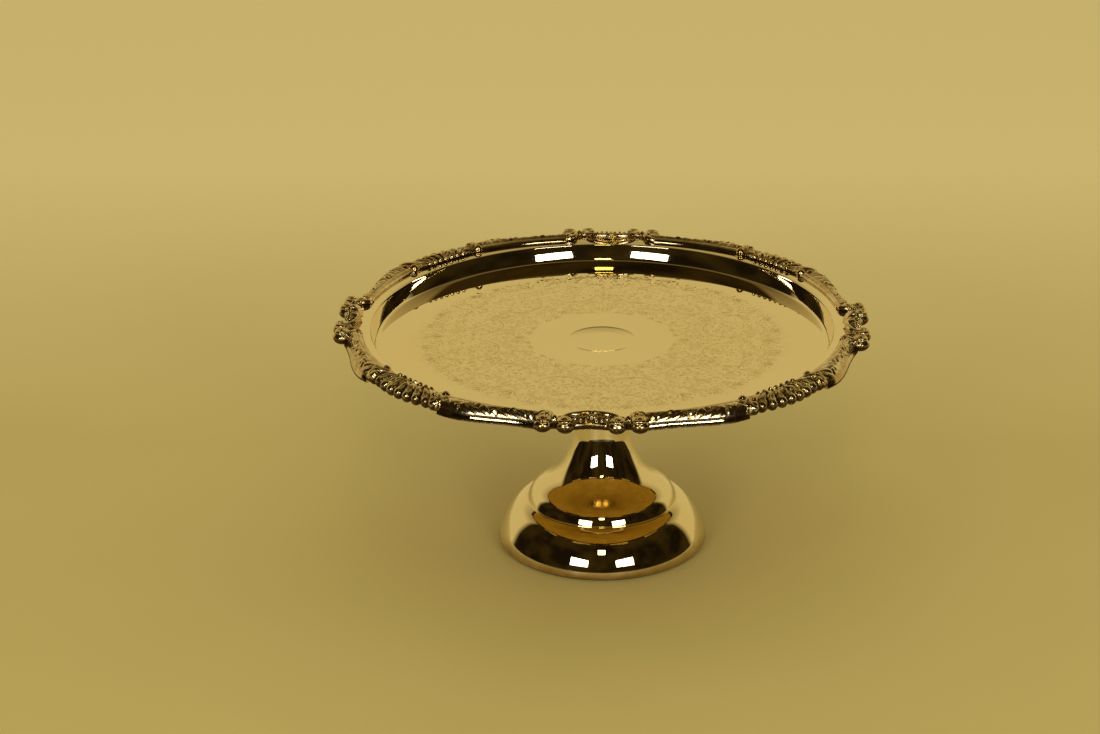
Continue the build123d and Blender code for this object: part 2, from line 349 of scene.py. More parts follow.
def half_pattern():
    """Cuts on the left of one sector's middle line. Local X points outwards."""
    ray = 180.0 / SECTORS
    # the large scroll with its flower
    cuts = [
        coil(77.5, 20.0, 15.6, 14.2, -62, -285, 0.38),
        coil(77.5, 20.0, 13.4, 13.0, -112, -262, 0.24),
        coil(79.5, 23.0, 11.0, 6.4, -290, -420, 0.36),
        coil(91.6, 9.4, 4.4, 1.4, 160, -230, 0.36),
    ]
    cuts += flower(76.6, 19.2, 6.8, 6, 12)
    for a in (150, 195, 240):
        c, s = heading(a)
        cuts.append(dash(77.5 + 9.2 * c, 20.0 + 9.2 * s, a + 70, 4.2, 0.44, 0.16))
    cuts.append(coil(88.6, 24.6, 4.2, 1.5, -150, 190, 0.34))
    cuts += [dash(69.5, 26.5, 60, 4.5), dash(84.5, 11.5, -40, 3.6), dash(66.8, 13.2, 120, 3.8)]
    # the leafy festoon outside it
    cuts += spray([(97.2, 6.5), (101.5, 12.0), (103.0, 20.0), (100.5, 27.5)], 6, 6.4)
    cuts += spray([(94.5, 27.5), (100.2, 33.0), (102.6, 40.5), (98.5, 46.5)], 6, 6.0)
    cuts += spray([(89.0, 33.5), (88.0, 40.0), (83.2, 44.2)], 4, 4.4)
    cuts += spray([(64.5, 9.5), (59.5, 6.0), (52.5, 6.2), (47.5, 9.0)], 5, 4.6)
    cuts += spray([(66.5, 29.0), (60.0, 26.0), (53.0, 25.0)], 4, 4.4)
    cuts += spray([(72.0, 35.5), (66.5, 34.6), (60.5, 32.2)], 4, 3.8)
    cuts += [
        coil(58.6, 15.6, 4.6, 1.4, 100, 420, 0.36),
        coil(105.4, 33.6, 3.4, 1.2, 40, -250, 0.34),
        coil(108.2, 13.4, 3.2, 1.2, -30, 260, 0.34),
    ]
    # half of what stands on the line between two sectors; the next sector brings the other half
    x, y = at_ray(95.0, 0.0)
    for a, length in ((-28, 6.6), (-90, 5.6), (-150, 6.6)):
        c, s = heading(ray + a)
        cuts.append(dash(x + 2.2 * c, y + 2.2 * s, ray + a, length, 0.55, 0.0))
    for radius in (58.0, 63.5, 69.0, 74.5, 80.0, 85.5):
        cuts.append(dash(*at_ray(radius, 1.0), ray - 38, 4.6, 0.42, 0.14))
    for radius in (104.0, 107.0):
        cuts.append(dash(*at_ray(radius, 1.1), ray - 26, 6.4, 0.46, 0.12))
        cuts.append(dash(*at_ray(radius - 1.6, 2.6), ray - 55, 4.6, 0.42, 0.12))
    for radius, a in ((54.5, 160), (51.0, 172)):
        cuts.append(dash(*at_ray(radius, 1.3), ray - a, 5.0, 0.42, -0.12))
    # the inner fringe and the outer edge
    for middle in (10.0, 20.0):
        c, s = heading(middle)
        cuts += fan(49.0 * c, 49.0 * s, middle + 180, 34, (5.6, 4.4))
        cuts += fan(107.0 * c, 107.0 * s, middle, 30, (6.4, 5.4, 3.6))
    return cuts


def middle_pattern():
    """Cuts on a sector's middle line."""
    cuts = fan(97.0, 0.0, 0, 20, (15.0, 12.5, 9.0))
    cuts += fan(56.0, 0.0, 180, 24, (10.0, 8.0, 5.4))
    cuts += [dash(60.0 + 4.2 * i, 0.0, 0, 3.0, 0.44, 0.0) for i in range(3)]
    cuts += flower(87.5, 0.0, 4.0, 5, 0)
    return cuts


def mirrored(cuts):
    return cuts + [(path * (1, -1), width) for path, width in cuts]


def distance_to_cut(points, path):
    """Distance from each point to a path, and how far along the path the nearest spot is, from 0 to 1."""
    best = np.full(len(points), 1e9)
    where = np.zeros(len(points))
    last = len(path) - 1
    for i in range(last):
        a, d = path[i], path[i + 1] - path[i]
        t = np.clip((points - a) @ d / (d @ d), 0, 1)
        gap = np.linalg.norm(points - a - t[:, None] * d, axis=1)
        nearer = gap < best
        best[nearer] = gap[nearer]
        where[nearer] = (i + t[nearer]) / last
    return best, where


def taper(t):
    """A cut's width along its length: pointed at both ends."""
    return np.sin(math.pi * np.clip(t, 0.0, 1.0)) ** 0.6


def filler(cuts, rng):
    """Small cuts that fill the open ground between the others, on this sector's left half."""
    taken = np.concatenate([path for path, _ in cuts])
    extra = []
    for radius in np.arange(44.0, 113.0, 2.9):
        for a in np.arange(1.5, 29.0, 165.0 / radius):
            r = radius + rng.uniform(-0.8, 0.8)
            b = a + rng.uniform(-0.6, 0.6)
            spot = r * np.array(heading(b))
            lean = b + rng.uniform(20, 150)
            side = 180.0 / SECTORS - b
            if min(b, side) * math.radians(1) * r < 1.8:
                continue
            if np.min(np.linalg.norm(taken - spot, axis=1)) < 1.5:
                continue
            cut = dash(*spot, lean, rng.uniform(1.8, 3.2), 0.42, 0.15)
            extra.append(cut)
            taken = np.concatenate([taken, cut[0]])
    return extra


def sector_cuts():
    half = half_pattern()
    half += filler(mirrored(half) + middle_pattern(), np.random.default_rng(7))
    return mirrored(half) + middle_pattern()


def groove_lines(path, width, first):
    """A cut's bottom and its two sides: their points, numbered from first, and the edges that join them."""
    ahead = units(np.gradient(path, axis=0))
    side = np.c_[-ahead[:, 1], ahead[:, 0]] * (width * taper(np.linspace(0, 1, len(path))))[:, None]
    points = [tuple(p) for run in (path, (path + side)[1:-1], (path - side)[1:-1]) for p in run]
    n = len(path)
    bottom = list(range(first, first + n))
    left = [bottom[0], *range(first + n, first + 2 * n - 2), bottom[-1]]
    right = [bottom[0], *range(first + 2 * n - 2, first + 3 * n - 4), bottom[-1]]
    return points, [edge for run in (bottom, left, right) for edge in zip(run, run[1:])]


def cut_depths(flat, cuts):
    """How deep each point of the floor lies, in the deepest of the cuts that cross there."""
    sunk = np.zeros(len(flat))
    for path, width in cuts:
        low, high = path.min(0) - 1, path.max(0) + 1
        near = np.flatnonzero(((flat > low) & (flat < high)).all(axis=1))
        gap, where = distance_to_cut(flat[near], path)
        room = np.maximum(width * taper(where), 1e-6)
        depth = CUT_DEPTH * np.minimum(room / FULL_CUT, 1.1) * np.clip(1 - gap / room, 0, 1)
        sunk[near] = np.maximum(sunk[near], depth)
    return sunk


def chased_sector():
    """Points, faces and shade of one sector of the floor, with every cut a real V groove."""
    cuts = sector_cuts()
    steps = TURN // SECTORS
    a = (np.arange(steps + 1) / steps - 0.5) * 2 * math.pi / SECTORS
    outer = np.c_[CHASED_OUT * np.cos(a), CHASED_OUT * np.sin(a)]
    inner = np.c_[CHASED_IN * np.cos(a), CHASED_IN * np.sin(a)][::-1]
    points = [tuple(p) for p in np.concatenate([outer, inner])]
    loop = list(range(len(points)))
    edges = []
    for path, width in cuts:
        more_points, more_edges = groove_lines(path, width, len(points))
        points += more_points
        edges += more_edges
    found = delaunay_2d_cdt([Vector(p) for p in points], edges, [loop], 1, 1e-4)
    flat = np.array([tuple(v) for v in found[0]])
    sunk = cut_depths(flat, cuts)
    return np.c_[flat, FLOOR_Z - sunk], [tuple(f) for f in found[2]], np.clip(sunk / CUT_DEPTH, 0, 1)


def well_side():
    """The sheet's top face from the floor to its edge: a soft cove, a wall that gets steeper as it rises, and
    the flange."""
    drop = np.linspace(9.3, 0.6, 14)
    wall = [(WELL_R - 0.221 * d - 0.0104 * d * d, FLOOR_Z + WELL_DEPTH - d) for d in drop]
    cove = bend((COVE_R, FLOOR_Z), (COVE_R + 2.05, FLOOR_Z), wall[0])
    lip = bend(wall[-1], (WELL_R, FLOOR_Z + WELL_DEPTH), (WELL_R + 0.8, flange_z(WELL_R + 0.8)))
    return [*cove, *wall[1:-1], *lip, (FLANGE_R, flange_z(FLANGE_R))]


def tray_dish():
    """The spun sheet: plain centre with a shallow dish, chased ring, margin, side of the well and flange."""
    centre = [(0, FLOOR_Z - 0.85, 0), (12.8, FLOOR_Z - 0.85, 4.0), (19.9, FLOOR_Z - 0.28, 0.5)]
    centre += [(21.2, FLOOR_Z, 0.3), (CHASED_IN, FLOOR_Z, 0)]
    top = np.array(well_side())
    under = inset(top, -DISH_SHEET)[::-1]
    rest = np.concatenate([[(CHASED_OUT, FLOOR_Z)], top, under, [(0, UNDER_Z)]])
    points, faces = lathe(soften(centre))
    more, more_faces = lathe(rest, len(points))
    points = np.concatenate([points, more])
    faces += more_faces
    turned_count = len(faces)
    shades = [np.zeros(len(points))]
    sector, sector_faces, cut = chased_sector()
    for i in range(SECTORS):
        first = len(points)
        points = np.concatenate([points, rotated(sector, 360.0 * i / SECTORS)])
        faces += shifted(sector_faces, first)
        shades.append(cut)
    obj = mesh_object("tray_dish_chased", points, faces)
    shade_layer(obj, np.concatenate(shades))
    # the chased faces are flat, so that each cut has two clean sides
    obj.data.polygons.foreach_set("use_smooth", np.arange(len(faces)) < turned_count)
    return weld(obj, 28)


# ---- border castings -----------------------------------------------
def film_and_painted_shade(points, faces, rounds, full, below):
    """Where a casting is darkened: its film in the hollows, and painted shade with some film low down."""
    # painted shade, with some film: the lower a point lies under the given height, the darker the casting
    low_film_and_painted_shade = np.clip((below - points[:, 2]) / 2.5, 0, 1)
    return hollow_depth(points, faces, rounds, full) + 0.8 * low_film_and_painted_shade


class Clay:
    """Closed forms that are skinned into one casting. X runs along the border, Y is the radius, Z is up."""

    def __init__(self):
        self.points, self.faces, self.count = [], [], 0

    def add(self, points, faces):
        self.points.append(np.asarray(points, float))
        self.faces += shifted(faces, self.count)
        self.count += len(points)

    def bead(self, x, y, z, *radii):
        """A ball, or an ellipsoid if three radii are given."""
        radii = radii * 3 if len(radii) == 1 else radii
        rings, sides = 10, 16
        points = []
        for p in np.linspace(0.02, math.pi - 0.02, rings):
            for a in np.arange(sides) * 2 * math.pi / sides:
                ball = (math.sin(p) * math.cos(a), math.sin(p) * math.sin(a), math.cos(p))
                points.append((x + radii[0] * ball[0], y + radii[1] * ball[1], z + radii[2] * ball[2]))
        self.add(points, grid_faces(rings, sides))

    def roll(self, path, radii):
        """A round bar along a path, with its radius at even steps along the way."""
        path = np.array(path, float)
        n, sides = len(path), 12
        radii = np.interp(np.linspace(0, 1, n), np.linspace(0, 1, len(radii)), radii)
        ahead = np.gradient(path, axis=0)
        side = units(np.c_[-ahead[:, 1], ahead[:, 0], np.zeros(n)])
        up = units(np.cross(side, ahead))
        up *= np.sign(up[:, 2:3] + 1e-9)
        points = []
        for i in range(n):
            for a in np.arange(sides) * 2 * math.pi / sides:
                points.append(path[i] + radii[i] * (math.cos(a) * side[i] + math.sin(a) * up[i]))
        self.add(points, grid_faces(n, sides))

    def reed(self, side, knots, count, radii):
        """A roll along the smooth curve through the knots, mirrored along the border where side is -1."""
        self.roll(smooth_curve([(side * x, y, z) for x, y, z in knots], count), radii)

    def slab(self, x, y_low, y_high, z_low, z_high):
        """A plate between two edges that run along the border."""
        n = len(x)
        y_low, y_high = np.broadcast_to(y_low, n), np.broadcast_to(y_high, n)
        corners = [(y_low, z_low), (y_high, z_low), (y_high, z_high), (y_low, z_high)]
        points = np.stack([np.c_[x, y, np.full(n, z)] for y, z in corners], axis=1).reshape(-1, 3)
        self.add(points, grid_faces(n, 4))

    def skin(self):
        """The outside of everything added, as one closed mesh that is smoothed a little."""
        mesh = bpy.data.meshes.new("clay")
        mesh.from_pydata(np.concatenate(self.points).tolist(), [], self.faces)
        obj = in_scene("clay", mesh)
        remesh = obj.modifiers.new("skin", "REMESH")
        remesh.mode = "VOXEL"
        remesh.voxel_size = CAST_VOXEL
        remesh.adaptivity = 0
        graph = bpy.context.evaluated_depsgraph_get()
        done = bpy.data.meshes.new_from_object(obj.evaluated_get(graph), depsgraph=graph)
        points = np.array([v.co for v in done.vertices], float)
        faces = [tuple(p.vertices) for p in done.polygons]
        bpy.data.objects.remove(obj)
        bpy.data.meshes.remove(mesh)
        bpy.data.meshes.remove(done)
        return relaxed(points, face_edges(faces), 2), faces


def grid_faces(rows, sides):
    """Quads of a closed tube of rings, with both ends capped."""
    faces = []
    for i in range(rows - 1):
        a, b = i * sides, (i + 1) * sides
        for j in range(sides):
            k = (j + 1) % sides
            faces.append((a + j, a + k, b + k, b + j))
    last = (rows - 1) * sides
    return faces + [tuple(range(sides))[::-1], tuple(range(last, last + sides))]


def on_border(points):
    """Local casting coordinates to places round the tray, with the casting's middle on +X. What would reach
    into the tray's sheet lies flat on it instead."""
    x, radius, z = points.T
    seat = flange_z(radius) + SEAT_GAP
    inside = (radius < STEP_R) & (z < seat)
    beside = inside & (STEP_R - radius < seat - z)
    z = np.where(inside & ~beside, seat, z)
    radius = np.where(beside, STEP_R, radius)
    a = x / RIM_R
    return np.c_[radius * np.cos(a), radius * np.sin(a), z]


def grooved(points, grooves):
    """Cuts rounded grooves, given as (path, half width, depth), into the top of a casting."""
    points = points.copy()
    for path, half_width, depth in grooves:
        gap, _ = distance_to_cut(points[:, :2], np.array(path, float))
        share = np.clip(1 - (gap / half_width) ** 2, 0, 1)
        points[:, 2] -= np.where(points[:, 2] > GROOVE_LOW_Z, depth * share, 0)
    return points


def casting(clay, grooves=()):
    """Points, faces and shade of the casting that the clay makes, seated on the border."""
    points, faces = clay.skin()
    points = grooved(points, grooves)
    # the returned shade holds the film in hollows and painted shade below 148 mm
    return on_border(points), faces, film_and_painted_shade(points, faces, 26, 0.80, 148.0)


def volute(clay, x, y, hand, start, size, z_eye):
    """A scroll's end: a domed boss with a reed that winds in to an eye. hand is +1 or -1."""
    clay.bead(x, y, 145.9, size + 0.1, size + 0.2, 4.3)
    turns = np.linspace(0, 1, 44)
    a = np.radians(start + hand * 500 * turns)
    r = (size - 1.25) * (1 - turns) ** 0.8 + 1.5 * turns
    z = 148.9 + (z_eye - 1.1 - 148.9) * turns
    clay.roll(np.c_[x + r * np.cos(a), y + r * np.sin(a), z], (1.35, 1.3, 1.05, 0.8))
    clay.bead(x, y, z_eye - 1.5, 1.75)


def scroll_plate(clay):
    """The bracket's plate, which is cut away under the hood and at the rails' ends, and its skirt."""
    x = np.linspace(-CAST_END_X, CAST_END_X, 121)
    far = np.abs(x)
    hood = 150.4 + 5.6 * np.clip(far / 15.5, 0, 1) ** 2.2
    inner = np.where(far < 15.5, hood, 156.6)
    inner = np.where(far > 23.2, 156.6 - 7.6 * np.clip((far - 23.2) / 4.0, 0, 1) ** 0.7, inner)
    outer = 157.0 + 1.4 * np.clip(far / 10, 0, 1)
    clay.slab(x, inner, outer, 147.3, 148.7)
    clay.slab(x, np.maximum(inner, SKIRT_R), outer, 143.0, 148.0)


def scroll_side(clay, side):
    """One side of the bracket: two volutes, the rail's end that curls up to them, and half the hollow."""
    volute(clay, side * 14.5, 160.8, side, -90 - side * 20, 5.3, 151.2)
    volute(clay, side * 27.3, 161.0, -side, -90 + side * 70, 5.5, 151.3)
    hook = [(CAST_END_X, 149.9, 148.6), (28.0, 150.2, 149.0), (25.0, 152.0, 149.3)]
    hook += [(23.2, 155.6, 149.4), (23.4, 159.4, 149.0)]
    clay.reed(side, hook, 30, (1.5, 1.7, 1.6, 1.3))
    lip = [(CAST_END_X, 155.6, 146.8), (29.6, 157.2, 147.0), (27.6, 158.4, 147.2)]
    clay.reed(side, lip, 14, (3.1, 3.0, 2.4))
    leaves = ((30.6, 152.6, 27.0, 156.6), (30.8, 154.6, 28.4, 157.0), (29.0, 151.8, 25.8, 154.8))
    for x, y, tip_x, tip_y in leaves:
        middle = ((x + tip_x) / 2, (y + tip_y) / 2 - 0.5, 149.9)
        clay.reed(side, [(x, y, 149.2), middle, (tip_x, tip_y, 149.3)], 10, (0.5, 1.05, 0.9, 0.4))
    clay.bead(side * 21.0, 158.3, 147.4, 2.6, 2.5, 3.6)
    clay.bead(side * 20.9, 158.0, 150.2, 1.25)
    shoulder = [(19.6, 157.4, 148.8), (18.2, 156.0, 149.0), (16.6, 156.3, 149.2)]
    clay.reed(side, shoulder, 10, (0.7, 1.2, 1.1))
    jewels = ((3.3, 155.2, 1.3), (6.3, 156.1, 1.2), (9.0, 157.7, 1.15), (2.7, 158.2, 1.1), (5.9, 158.8, 1.0))
    for x, y, size in jewels:
        clay.bead(side * x, y, 149.3, size)
    feather = [(1.6, 153.4, 149.0), (3.6, 152.8, 149.4), (6.4, 153.4, 149.2), (9.0, 154.8, 149.0)]
    clay.reed(side, feather, 12, (0.5, 0.8, 0.7, 0.4))
    rim = [(0.0, 157.6, 145.8), (4.5, 158.0, 145.8), (9.5, 159.6, 146.0)]
    clay.reed(side, rim, 14, (2.6, 2.6, 2.8))
    neck = [(15.0, 161.0, 145.8), (20.9, 158.6, 145.2), (27.0, 161.0, 145.8)]
    clay.reed(side, neck, 18, (3.0, 2.3, 3.0))
    clay.reed(side, [(27.0, 159.6, 145.6), (CAST_END_X, 157.6, 145.8)], 6, (3.0, 2.8))


def scroll_mount():
    """The bracket: a hood between volutes over a jewelled hollow, and the rails' ends that curl up to it."""
    clay = Clay()
    scroll_plate(clay)
    for side in (-1, 1):
        scroll_side(clay, side)
    half_arch = [(16.2, 158.6, 149.2), (14.9, 155.4, 149.6), (10.6, 152.5, 149.9), (5.3, 151.0, 150.1)]
    arch = [(-x, y, z) for x, y, z in half_arch] + [(0, 150.6, 150.2)] + half_arch[::-1]
    clay.reed(1, arch, 60, (1.5, 1.55, 1.6, 1.75, 1.6, 1.55, 1.5))
    clay.bead(0, 155.0, 149.5, 1.9)
    drop = [(0, 153.0, 149.0), (0, 151.4, 150.8), (0, 149.7, 149.6), (0, 148.7, 148.4)]
    clay.roll(drop, (1.2, 1.5, 1.1, 0.4))
    return casting(clay)


def shell_flutes(clay):
    """Seven lobes with a bead at the root of each. Returns the grooves along the lobes and between them."""
    grooves = []
    lobes = range(-3, 4)
    for i in lobes:
        tip_x, tip_y = 6.9 * i, 162.3 - 0.2 * i * i
        clay.bead(tip_x, tip_y, 145.7, 3.3, 3.3, 3.7)
        line = [(3.7 * i, 151.4), (5.0 * i + 0.7, 155.0), (6.3 * i + 0.5, 158.6), (tip_x, tip_y)]
        grooves.append((smooth_curve(line, 12), 0.4, 0.35))
        bow = 0.9 if i < 0 else -0.9
        for j in (i - 0.5, i + 0.5):
            line = [(3.8 * j, 150.8), (5.1 * j + bow, 154.4), (6.4 * j + bow, 158.0), (6.9 * j, 162.6)]
            grooves.append((smooth_curve(line, 12), 1.15, 0.75))
    for i in lobes:
        clay.bead(5.0 * i, 149.9 + 0.03 * i * i, 149.1, 1.6)
    return grooves


def shell_side(clay, side):
    """The scroll leaf at one side of the shell."""
    clay.bead(side * 28.4, 151.9, 148.9, 3.0)
    leaf = [(21.6, 151.6, 148.8), (25.0, 154.4, 149.6), (28.4, 157.8, 149.6), (29.2, 161.4, 148.0)]
    leaf.append((26.4, 163.2, 146.6))
    clay.reed(side, leaf, 30, (0.9, 1.7, 2.2, 2.5, 2.3))
    clay.bead(side * 26.6, 161.0, 146.4, 3.4, 3.2, 4.4)
    frond = [(22.6, 150.9, 148.9), (25.2, 151.6, 149.2), (26.4, 153.6, 149.4)]
    clay.reed(side, frond, 10, (0.5, 1.0, 0.6))
    tail = [(CAST_END_X, 154.0, 149.2), (30.2, 156.8, 149.6), (31.2, 160.6, 148.0)]
    clay.reed(side, tail, 12, (0.9, 1.4, 1.9))
    clay.reed(side, [(27.0, 161.2, 145.8), (CAST_END_X, 161.2, 146.0)], 6, (3.2, 3.4))
    return [(side * 22.4, 153.2), (side * 26.4, 156.4), (side * 28.4, 160.2)], 0.5, 0.5


def shell_mount():
    """The shell: flutes that open from a row of beads into seven lobes, between two scroll leaves."""
    clay = Clay()
    x = np.linspace(-CAST_END_X, CAST_END_X, 121)
    far = np.abs(x)
    inner = 149.2 + 0.9 * np.clip((far - 17) / 6, 0, 1)
    outer = 160.4 - 1.6 * np.clip((far - 22) / 4, 0, 1)
    clay.slab(x, inner, outer, 147.3, 148.9)
    clay.slab(x, SKIRT_R, outer, 143.4, 148.4)
    for y, z, size in ((153.8, 147.7, 2.8), (156.6, 147.6, 3.4), (159.6, 146.3, 3.3)):
        clay.roll([(-24.0, y, z), (24.0, y, z)], (size, size))
    grooves = shell_flutes(clay)
    for side in (-1, 1):
        grooves.append(shell_side(clay, side))
    return casting(clay, grooves)


def leaf_relief(s, t):
    """Height of the foliage on a rail's top band: s runs along the rail in millimetres, t across it."""
    across = np.clip(t, 0, 1)
    phase = (s + 9.0 * across - 2.5 * np.sin(math.pi * across)) / 6.4
    leaflet = np.abs(np.sin(math.pi * phase)) ** 0.8
    vein = np.exp(-(((phase % 1) - 0.5) / 0.08) ** 2)
    stem_at = 0.42 + 0.24 * np.sin(2 * math.pi * s / 22.0)
    stem = np.exp(-(((across - stem_at) / 0.10) ** 2))
    curl = np.zeros_like(s)
    for k in range(7):
        centre, spot = 4.5 + 11.0 * k, 0.28 if k % 2 else 0.74
        away = np.hypot(s - centre, 8.0 * (across - spot))
        curl += 0.6 * np.exp(-((away / 1.2) ** 2)) - 0.45 * np.exp(-(((away - 2.2) / 0.6) ** 2))
    envelope = np.sin(math.pi * across) ** 0.5
    return envelope * ((0.3 + 0.6 * across) * leaflet - 0.25 * vein + 0.35 * stem + curl)


# a rail's outer edge as (degrees round the tray, radius)
RAIL_OUTLINE = [(11.5, 160.4), (15.0, 159.7), (18.0, 160.0), (22.0, 161.7), (27.0, 164.4), (31.0, 165.3)]
RAIL_OUTLINE.append((33.5, 164.6))
# its outer side as (step out from that edge, height)
RAIL_SIDE = [(-2.1, 146.1), (-1.35, 144.8), (-0.65, 143.4), (-0.1, 142.1), (-0.5, 141.9)]


def rail_section(low, high, s):
    """A rail's cross-section from one radius to another, s millimetres along the rail, in four runs: rounded
    inner side, leafy band, outer side and underside."""
    rise = np.radians(np.linspace(180, 96, 9))
    inner = np.c_[low + 3.2 + 3.2 * np.cos(rise), flange_z(low) + SEAT_GAP + 2.9 * np.sin(rise)]
    crown = [(low + 3.5, 149.9), ((low + high) / 2 - 0.5, 150.5), (high - 5.2, 149.8), (high - 3.5, 148.3)]
    crown.append((high - 2.2, 146.3))
    across = np.linspace(0, 1, 26)
    band = smooth_curve(crown, len(across))
    band[:, 1] += leaf_relief(np.full_like(across, s), across)
    outer = smooth_curve(RAIL_SIDE, 18) + (high, 0)
    under = [(high - 1.6, BORDER_LOW_Z + 0.1), (STEP_R, BORDER_LOW_Z + 0.5)]
    under += [(r, flange_z(r) + SEAT_GAP) for r in (STEP_R, low + 0.5)]
    return inner, band, outer, np.array(under)


def leaf_rail():
    """A rail beside a scroll mount: smooth rounded inner side, leafy band and smooth sloping outer side."""
    degrees = np.linspace(*RAIL_DEGREES, RAIL_STATIONS)
    turned = degrees - degrees[0]
    outline = smooth_curve(RAIL_OUTLINE, 200)
    outer_edge = np.interp(degrees, outline[:, 0], outline[:, 1])
    sizes = zip(148.0 + 0.075 * turned, outer_edge, np.radians(turned) * RIM_R)
    sections = [rail_section(*size) for size in sizes]
    points = []
    for a, section in zip(np.radians(degrees), sections):
        row = np.concatenate(section)
        points.append(np.c_[row[:, 0] * math.cos(a), row[:, 0] * math.sin(a), row[:, 1]])
    sides = len(points[0])
    points = np.concatenate(points)
    faces = grid_faces(RAIL_STATIONS, sides)
    # film in the hollows, and painted shade below 145 mm
    shade = film_and_painted_shade(points, [f for f in faces if len(f) == 4], 14, 0.45, 145.0)
    # the smooth outer side is rubbed bright down to its lower edge
    inner, band, outer, _ = sections[0]
    place = np.tile(np.arange(sides), RAIL_STATIONS) - len(inner) - len(band)
    rubbed = (place >= 0) & (place < len(outer)) & (np.abs(points[:, 2] - 144.2) < 1.0)
    return points, faces, np.where(rubbed, -1.0, shade)


def border():
    """The border's three kinds of casting, each as one object of all its copies."""
    quarter = [90.0 * i for i in range(MOUNTS)]
    points, faces, shade = leaf_rail()
    other_hand = (points * (1, -1, 1), [f[::-1] for f in faces], shade, quarter)
    made = {
        "border_scroll_mounts": ("border_scroll_castings", [(*scroll_mount(), quarter)]),
        "border_shell_mounts": ("border_shell_castings", [(*shell_mount(), [45.0 + q for q in quarter])]),
        "border_leaf_rails": ("border_leaf_rail_castings", [(points, faces, shade, quarter), other_hand]),
    }
    castings = []
    for node, (name, patterns) in made.items():
        obj = weld(repeated(name, patterns), 60)
        stand_in(obj, "tray", node)
        castings.append(obj)
    return castings


# ---- pedestal ------------------------------------------------------
def pedestal_profile():
    """The spun sheet's section: turned-in rim, dome, bead, neck and the inside parallel to them."""
    dome = [(FOOT_R, 3.5), (65.85, 5.0), (65.55, 6.6), (64.75, 9.1), (63.1, 12.8)]
    dome += [(60, 18.5), (56.7, 23), (52.3, 27), (47.9, 28.8)]
    neck = [(47.1, 29.4), (46.0, 32.0), (44.3, 34.9), (42.2, 37.1), (39.0, 39.4), (33.6, 43)]
    neck += [(29.4, 47), (26.35, 51), (23.85, 55.5), (21.7, 60), (19.3, 66), (17.7, 70.6)]
    neck += [(17.15, 72.4), (16.45, 77), (15.7, 88), (15.7, 98), (17.1, 111), (NECK_LIP_R, shell_high.z)]
    lower, upper = smooth_curve(dome, 60), smooth_curve(neck, 120)
    low = shell_low.z
    rim = soften([(TURNED_IN_R, low, 0), (FOOT_R - 0.6, low, 1.6), (FOOT_R, 3.5, 0)], 8)[:-1]
    angles = np.linspace(-0.7, 1.7, 9)[1:-1]
    bead = [(BEAD_R + BEAD_ROUND * math.cos(a), BEAD_Z + BEAD_ROUND * math.sin(a)) for a in angles]
    outside = np.concatenate([rim, lower, bead, upper])
    sheet_top = low + FOOT_SHEET
    turned_in = [(TURNED_IN_R, sheet_top), (FOOT_R - 2.0, sheet_top)]
    inside = np.concatenate([turned_in, inset(lower, FOOT_SHEET), inset(upper, FOOT_SHEET)])
    inside[-1] = (NECK_LIP_R - FOOT_SHEET, shell_high.z)
    return np.concatenate([outside, inside[::-1], outside[:1]])


def pedestal():
    obj = turned_object("pedestal_shell_spun", pedestal_profile())
    stand_in(obj, "pedestal", "pedestal_shell")
    return obj


def hub_collar():
    low, top = collar_low.z, collar_high.z
    outer = smooth_curve([(21.9, low), (22.5, 125.5), (24.6, 130.6), (30.5, top)], 30)
    inner = smooth_curve([(21.0, low), (21.6, 125.8), (23.9, 131.2), (29.0, top)], 30)
    obj = turned_object("hub_collar_spun", np.concatenate([outer, inner[::-1], outer[:1]]))
    stand_in(obj, "tray", "hub_collar")
    return obj


